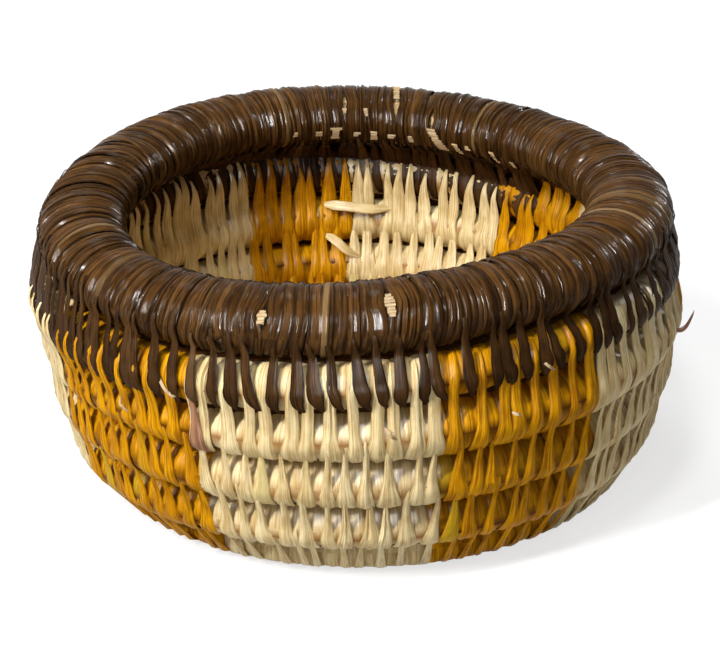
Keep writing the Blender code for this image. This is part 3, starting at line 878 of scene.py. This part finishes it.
        # The last number of each knot is painted shade.
        table = [(*on_rim(start + 0.3, -1.3 * MM), 0.4, 0.3), (*on_rim(start, 0.1 * MM), 0.7, 0.0),
                 (*held, 1.15, 0.0), (*middle, 1.45, 0.1), (*below, 1.7, 0.15)]
        for angle, rise, width, tuck in TIE_TAILS[side]:
            table.append((*on_row(angle, rise * MM), width, tuck))
        read = smooth_line(np.array(table), points)
        line, width, tuck = read[:, :2], read[:, 2], read[:, 3]
        along = np.linspace(0, 1, points)
        lean = (2.4 * MM + hand.jitter(2.2 * MM)) / self.line_radius
        turned = azimuth + lean * (along - 0.75) * way + hand.wander(points, 0.25 * MM) / self.line_radius
        turned += np.clip(along - 0.7, 0, 1) * way * 3.0 * MM / self.line_radius
        half = width * MM * (1 + hand.jitter(0.2)) * (1 + hand.wander(points, 0.08))
        hand.lay(mesh, line, out_of(line, np.array(row[:2])), turned, half,
                 np.minimum(self.tie_crown, half * 0.25), np.clip(tuck, 0, 1), 0.3 * MM)

    def build_ties(self) -> StripMesh:
        """Lay the long dark stitches between the pale and golden necks, closest on the flanks."""
        mesh = StripMesh()
        for side in Side:
            necks = sorted(azimuth % TAU for azimuth in self.necks[side])
            for neck, after in zip(necks, necks[1:] + [necks[0] + TAU]):
                gap = after - neck
                self.tie(mesh, neck + gap * (0.5 + self.weaver.jitter(0.15)), side)
                extra = 1.8 * flank_share(neck) if side is Side.OUTSIDE else 0.9
                for place in (0.0, 0.25)[:int(extra + self.weaver.draws.random())]:
                    self.tie(mesh, neck + gap * (place + self.weaver.jitter(0.12)), side)
        return mesh

    def window(self, mesh: StripMesh, azimuth: float, angle: float, wide: float, tall: float,
               slant: float) -> None:
        """Show the core's grass where the binding gapes: short stems side by side.

        Args:
            mesh: the mesh that takes them.
            azimuth: where the window is, in radians.
            angle: its place round the rim's section, in radians.
            wide: its width along the rim.
            tall: its height round the section.
            slant: how far each stem lies beside the one below it.
        """
        hand, points = self.weaver, 5
        stems = max(int(tall / self.stem_pitch), 2)
        for stem in range(stems):
            step = stem - (stems - 1) / 2
            at = angle + step * self.stem_pitch / self.half_height
            half = wide * (0.5 + hand.jitter(0.16)) / self.line_radius
            azimuths = azimuth + step * slant / self.line_radius + np.linspace(-half, half, points)
            flat, out = self.section(azimuths, np.full(points, at), 0.1 * MM)
            hand.lay(mesh, flat, out, azimuths, self.stem_half, self.stem_crown, 0.0, 0.05 * MM)

    def build_windows(self) -> StripMesh:
        """Build every window onto the core."""
        mesh = StripMesh()
        for azimuth, angle, wide, tall, slant in WINDOWS:
            self.window(mesh, math.radians(azimuth), math.radians(angle), wide * MM, tall * MM, slant * MM)
        return mesh


@dataclass(frozen=True)
class GrassBundle:
    """A bundle of dry stems: a tube with a ridge for each stem."""

    name: str
    stems: int
    closed: bool = False
    ridge: float = 0.25 * MM

    def build(self, flat: Array, azimuth: Array, wide: float | Array,
              high: float | Array, material: Material) -> Object:
        """Make the bundle along a line.

        Args:
            flat: radius and height along the bundle.
            azimuth: azimuth of each of its points.
            wide: half-width.
            high: half-height.
            material: its finish.

        Returns:
            The object.
        """
        count, around = len(flat), self.stems * 2
        wide, high = (np.broadcast_to(value, count)[:, None] for value in (wide, high))
        sides = to_space(np.tile([1.0, 0.0], (count, 1)), azimuth)
        angles = TAU * np.arange(around) / around
        swell = np.where(np.arange(around) % 2, self.ridge, 0)
        out = sides[:, None] * np.cos(angles)[None, :, None] * (wide + swell)[..., None]
        out = out + UP * np.sin(angles)[None, :, None] * (high + swell)[..., None]
        ring = to_space(flat, azimuth)[:, None] + out
        rows = count if self.closed else count - 1
        i, j = np.meshgrid(np.arange(rows), np.arange(around), indexing="ij")
        after, beside = (i + 1) % count, (j + 1) % around
        corners = (i * around + j, after * around + j, after * around + beside, i * around + beside)
        faces = np.stack(corners, -1).reshape(-1, 4).tolist()
        if not self.closed:
            faces.append(list(range(around)))
            faces.append(list(range((count - 1) * around, count * around))[::-1])
        return mesh_object(self.name, ring, faces, material)


@dataclass
class Basket:
    """The whole basket, piece by piece."""

    weaver: Weaver = field(default_factory=Weaver)
    rim: Rim = field(default_factory=Rim)
    materials: dict = field(default_factory=dict)

    HEEL_NODES = {Leaf.PALE: ["heel_wrap_1", "heel_wrap_2"], Leaf.GOLDEN: ["heel_wrap_3", "heel_wrap_4"]}
    TURN_POINTS = 48
    RING = TAU * np.arange(144) / 144
    COIL_SINK = 1.9 * MM
    THINNEST = 0.6 * MM
    CORE_SINK = 2.1 * MM
    GROOVE_HALF = 2.2 * MM
    SEAT_HALF = (3.2 * MM, 2.6 * MM)
    INNER_BLADE = 0.8 * MM
    FIRST_STITCHED_TURN = 1.2
    REDDISH_TURN = 8.168
    REDDISH_LIFT = 1.05 * MM

    def finish_all(self) -> None:
        """Build the materials."""
        fibre = fibre_group()
        self.materials = {leaf: finish.material(fibre) for leaf, finish in FINISHES.items()}
        self.materials["ties"] = TIE_SHADED_FINISH.material(fibre)
        self.materials["grass"] = grass_material("dry grass", (0.30, 0.17, 0.07), (0.62, 0.44, 0.22))
        # Near-black grass for the fillings: painted shade in the grooves and under the rim.
        self.materials["tucked"] = grass_material("tucked ends", (0.02, 0.008, 0.003), (0.09, 0.035, 0.01))

    def adopt(self, piece: Object, nodes: list[str]) -> None:
        """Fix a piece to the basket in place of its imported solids."""
        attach(piece, "root")
        if nodes:
            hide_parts(*nodes)
        log.info("%s: %d faces for %s", piece.name, len(piece.data.polygons), ", ".join(nodes) or "no solid")

    def nodes_like(self, start: str) -> list[str]:
        """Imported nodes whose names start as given."""
        return sorted(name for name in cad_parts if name.startswith(start))

    def neck_of(self, side: Side, azimuth: float, second: bool) -> tuple[float, float | None, float]:
        """Choose how one long stitch starts.

        Args:
            side: outside or inside of the wall.
            azimuth: where the stitch lies.
            second: whether it reaches up to the row under the rim.

        Returns:
            The neck's angle, how far a broad neck lies over its row or None, and its tip in mm.
        """
        draws = self.weaver.draws
        # Each stitch takes its draws in this order, also those that it replaces below.
        neck = draws.uniform(-0.35, 0.65) if side is Side.OUTSIDE else draws.uniform(-0.9, 0.4)
        if not second:
            return neck, None, NECK_TIP_MM
        neck = draws.uniform(-1.1, -0.4)
        if side is Side.INSIDE:
            return neck, self.INNER_BLADE, NECK_TIP_MM
        flank = flank_share(azimuth)
        edge_on = ramp(-math.degrees(azimuth % TAU - TAU) - 76, 8)
        neck = draws.uniform(-1.5, -1.2) + (0.75 + 0.7 * edge_on) * flank
        blade = (float(draws.choice((0.0, 0.25))) + (1.3 - 0.9 * edge_on) * flank) * MM
        return neck, blade, NECK_TIP_MM - 0.9 * min(flank, 1)

    def lay_wall(self) -> dict:
        """Lay pillows and long stitches on heel and wall.

        Returns:
            A mesh of strips for each row number and leaf, row 0 being the heel.
        """
        meshes: dict = {}
        hand, seat_turn = self.weaver, COIL.turns - 1 + self.rim.thin_share
        for turn in hand.turns(COIL.heel_turn, COIL.last_turn):
            row = int(turn) - COIL.heel_turn
            mesh = meshes.setdefault((row, COIL.leaf_at(turn)), StripMesh())
            mesh.across = PLAIN
            hand.pillow(mesh, turn, seat=turn > seat_turn)
            if turn > seat_turn:
                continue
            second = turn > seat_turn - 1
            half_step = hand.spacing / 2 / (TAU * float(COIL.centre(turn)[0]))
            for side in Side:
                at = turn + half_step + half_step * hand.jitter(0.5)
                azimuth = float(COIL.azimuth(at))
                neck, blade, tip = self.neck_of(side, azimuth, second)
                if second:
                    self.rim.necks[side].append(azimuth)
                mesh = meshes.setdefault((row, COIL.leaf_at(at)), StripMesh())
                mesh.across = FINE if side is Side.OUTSIDE else PLAIN
                hand.long_stitch(mesh, at, side, neck, 20 if second else 16, blade, tip)
        return meshes

    def build_wall(self) -> None:
        """Build the heel's and the wall rows' pieces."""
        for (row, leaf), mesh in sorted(self.lay_wall().items(), key=lambda entry: str(entry[0])):
            word = leaf.value.removesuffix("_leaf")
            name = f"row_{row}_{word}_stitches" if row else f"heel_{word}_stitches"
            nodes = self.nodes_like(f"row_{row}_{word}") if row else self.HEEL_NODES[leaf]
            self.adopt(mesh.build(name, self.materials[leaf]), nodes)

    def build_floor(self) -> None:
        """Build the floor's pillows and stitches."""
        mesh = StripMesh()
        hand = self.weaver
        for turn in hand.turns(COIL.first_turn, COIL.heel_turn):
            hand.pillow(mesh, turn, points=16)
            if turn > self.FIRST_STITCHED_TURN:
                for side in Side:
                    hand.long_stitch(mesh, turn + hand.jitter(0.004), side, 0.5, points=12)
        piece = mesh.build("floor_stitches", self.materials[Leaf.PALE])
        self.adopt(piece, ["floor_wrap"])

    def build_bundles(self) -> None:
        """Build the grass inside the coil and the rim."""
        turns = np.arange(COIL.first_turn, COIL.last_turn - 0.02, 1 / self.TURN_POINTS)
        radius, height, _, breadth = COIL.centre(turns)
        thick = np.maximum(breadth / 2 - self.COIL_SINK, self.THINNEST)
        coil = GrassBundle("coil_grass", stems=10).build(
            np.stack([radius, height], -1), COIL.azimuth(turns), thick, thick, self.materials["grass"])
        self.adopt(coil, ["foundation_coil"])
        wide, high = self.rim.half_width - self.CORE_SINK, self.rim.half_height - self.CORE_SINK
        core = GrassBundle("rim_grass", stems=40, closed=True).build(
            self.rim.centre(self.RING), self.RING, wide, high, self.materials["grass"])
        self.adopt(core, ["rim_core"])

    def build_fillings(self) -> None:
        """Build dark bundles that fill the grooves between the rows and under the rim; their near-black
        colour is painted shade.
        """
        turns = np.arange(COIL.first_turn + 1, COIL.last_turn, 1 / self.TURN_POINTS)
        outer, inner = COIL.centre(turns), COIL.centre(turns - 1)
        share = inner[3] / (inner[3] + outer[3])
        flat = np.stack([inner[k] + (outer[k] - inner[k]) * share for k in (0, 1)], -1)
        wall = GrassBundle("groove_shade_fill", stems=5).build(
            flat, COIL.azimuth(turns), self.GROOVE_HALF, self.GROOVE_HALF, self.materials["tucked"])
        self.adopt(wall, [])
        radius, height, _, breadth = COIL.centre(self.rim.turn_below(self.RING))
        below = np.stack([radius, height], -1)
        flat = below + unit(self.rim.centre(self.RING) - below) * (breadth / 2)[:, None]
        ring = GrassBundle("rim_seat_shade_fill", stems=6, closed=True).build(
            flat, self.RING, *self.SEAT_HALF, self.materials["tucked"])
        self.adopt(ring, [])

    def build_rim(self) -> None:
        """Build the rim's binding, its long stitches and the grass that shows through."""
        for name, lay, finish, slot, nodes in (
                ("rim_binding", self.rim.build_wraps, Leaf.DARK, Leaf.DARK, self.nodes_like("rim_wrap")),
                ("rim_long_stitches", self.rim.build_ties, "ties", Leaf.DARK, []),
                ("rim_grass_showing", self.rim.build_windows, Leaf.STRAW, Leaf.STRAW, [])):
            self.adopt(lay().build(name, self.materials[finish]), nodes)

    def build_loose_ends(self) -> None:
        """Build what stands off the binding: pale ends inside, a reddish stitch, a curl and flakes."""
        hand = Weaver(draws=np.random.default_rng(5))
        for name, ends, leaf, slot in (("loose_pale_ends", LOOSE_ENDS, Leaf.PALE, Leaf.PALE),
                                       ("reddish_ends", BROWN_ENDS, Leaf.REDDISH, Leaf.DARK),
                                       ("straw_flakes", STRAW_ENDS, Leaf.STRAW, Leaf.STRAW)):
            mesh = StripMesh(across=FINE)
            if leaf is Leaf.REDDISH:
                hand.lift = self.REDDISH_LIFT
                hand.long_stitch(mesh, self.REDDISH_TURN, Side.OUTSIDE, -0.5)
            for knots, half in ends:
                hand.loose_end(mesh, knots, half * MM)
            self.adopt(mesh.build(name, self.materials[leaf]), [])


@dataclass
class Studio:
    """Floor, lamps and camera."""

    distance: float = 0.65
    elevation: float = math.radians(23.985)
    target: tuple = (-0.62 * MM, 0.0, 40.56 * MM)
    focal_pixels: float = 2150.0
    frame_pixels: float = 720.0
    sensor: float = 36.0
    roll: float = math.radians(-1.03)
    world_light: float = 0.12
    floor_size: float = 8.0
    floor_grey: float = 0.36
    floor_glow: float = 0.68
    glow_from: float = 0.25
    glow_to: float = 1.2

    def build_floor(self) -> None:
        """Lay a floor that runs out of view, grey to the object and white to the camera."""
        bpy.ops.mesh.primitive_grid_add(x_subdivisions=2, y_subdivisions=2, size=self.floor_size)
        floor = bpy.context.object
        floor.name = "floor"
        made, tree, shader = new_material("pale floor")
        away = tree.nodes.new("ShaderNodeVectorMath")
        away.operation = "LENGTH"
        feed(tree, away, {0: tree.nodes.new("ShaderNodeTexCoord").outputs["Object"]})
        grow = feed(tree, tree.nodes.new("ShaderNodeMapRange"), {
            "From Min": self.glow_from, "From Max": self.glow_to, "To Min": self.floor_glow, "To Max": 1.0,
            "Value": away.outputs["Value"]})
        glow = maths(tree, "MULTIPLY", self.background_rays(tree), grow.outputs["Result"])
        feed(tree, shader, {
            "Base Color": (*[self.floor_grey] * 3, 1), "Roughness": 0.9, "Specular IOR Level": 0.1,
            "Emission Color": (1, 1, 1, 1), "Emission Strength": glow})
        floor.data.materials.append(made)

    @staticmethod
    def background_rays(tree: NodeTree) -> NodeSocket:
        """Socket that is 1 for camera, glossy and transmission rays."""
        rays = tree.nodes.new("ShaderNodeLightPath").outputs
        seen = maths(tree, "MAXIMUM", rays["Is Camera Ray"], rays["Is Glossy Ray"])
        return maths(tree, "MAXIMUM", seen, rays["Is Transmission Ray"])

    def lamp(self, name: str, azimuth: float, elevation: float, distance: float, size: tuple,
             watts: float, glint: bool = False) -> None:
        """Hang one lamp aimed at the basket.

        Args:
            name: the lamp's name.
            azimuth: degrees to the right of the front.
            elevation: degrees above the basket.
            distance: how far off it hangs.
            size: width and height.
            watts: its power.
            glint: whether only shiny reflections show it.
        """
        data = bpy.data.lights.new(name, "AREA")
        data.shape, data.energy = "RECTANGLE", watts
        data.size, data.size_y = size
        lamp = bpy.data.objects.new(name, data)
        turned, up = math.radians(azimuth), math.radians(elevation)
        way = np.array([math.sin(turned) * math.cos(up), -math.cos(turned) * math.cos(up), math.sin(up)])
        lamp.location = np.array(self.target) + distance * way
        lamp.rotation_euler = to_quaternion(-way).to_euler()
        lamp.visible_diffuse = not glint
        bpy.context.scene.collection.objects.link(lamp)

    def light(self) -> None:
        """Light the basket: a key lamp on the left, one above, one behind and three for glints only."""
        self.lamp("key", -44, 45, 1.1, (0.05, 0.45), 15.5)
        self.lamp("top", -14, 66, 1.1, (0.15, 0.15), 4.5)
        self.lamp("front glint", -4, 32, 1.0, (0.026, 1.00), 170.0, glint=True)
        self.lamp("side glint", -68, 24, 1.0, (0.026, 0.60), 36.0, glint=True)
        self.lamp("right glint", 128, 23, 1.0, (0.020, 0.40), 9.0, glint=True)
        self.lamp("back", -170, 60, 1.1, (0.3, 0.3), 3.0)
        world = bpy.data.worlds.new("studio")
        world.use_nodes = True
        tree = world.node_tree
        strength = maths(tree, "MAXIMUM", self.background_rays(tree), self.world_light)
        feed(tree, tree.nodes["Background"], {"Color": (1, 1, 1, 1), "Strength": strength})
        bpy.context.scene.world = world
        bpy.context.scene.view_settings.view_transform = "Standard"

    def place_camera(self) -> None:
        """Stand the camera where the photograph was taken from."""
        data = bpy.data.cameras.new("camera")
        data.sensor_width = self.sensor
        data.lens = self.focal_pixels / self.frame_pixels * self.sensor
        camera = bpy.data.objects.new("camera", data)
        back = np.array([0, -math.cos(self.elevation), math.sin(self.elevation)])
        camera.location = np.array(self.target) + self.distance * back
        turn = Quaternion((0, 0, 1), self.roll)
        camera.rotation_euler = (to_quaternion(-back) @ turn).to_euler()
        bpy.context.scene.collection.objects.link(camera)
        bpy.context.scene.camera = camera


def to_quaternion(aim: Array) -> Quaternion:
    """Rotation that points a camera or lamp along a direction, with its top up."""
    return Vector(aim).to_track_quat("-Z", "Y")


def main() -> None:
    """Build the basket, its floor, lamps and camera."""
    logging.basicConfig(level=logging.INFO, format="%(name)s: %(message)s")
    basket = Basket()
    basket.finish_all()
    basket.build_wall()
    basket.build_floor()
    basket.build_bundles()
    basket.build_fillings()
    basket.build_rim()
    basket.build_loose_ends()
    studio = Studio()
    studio.build_floor()
    studio.light()
    studio.place_camera()


if __name__ == "__main__":
    main()
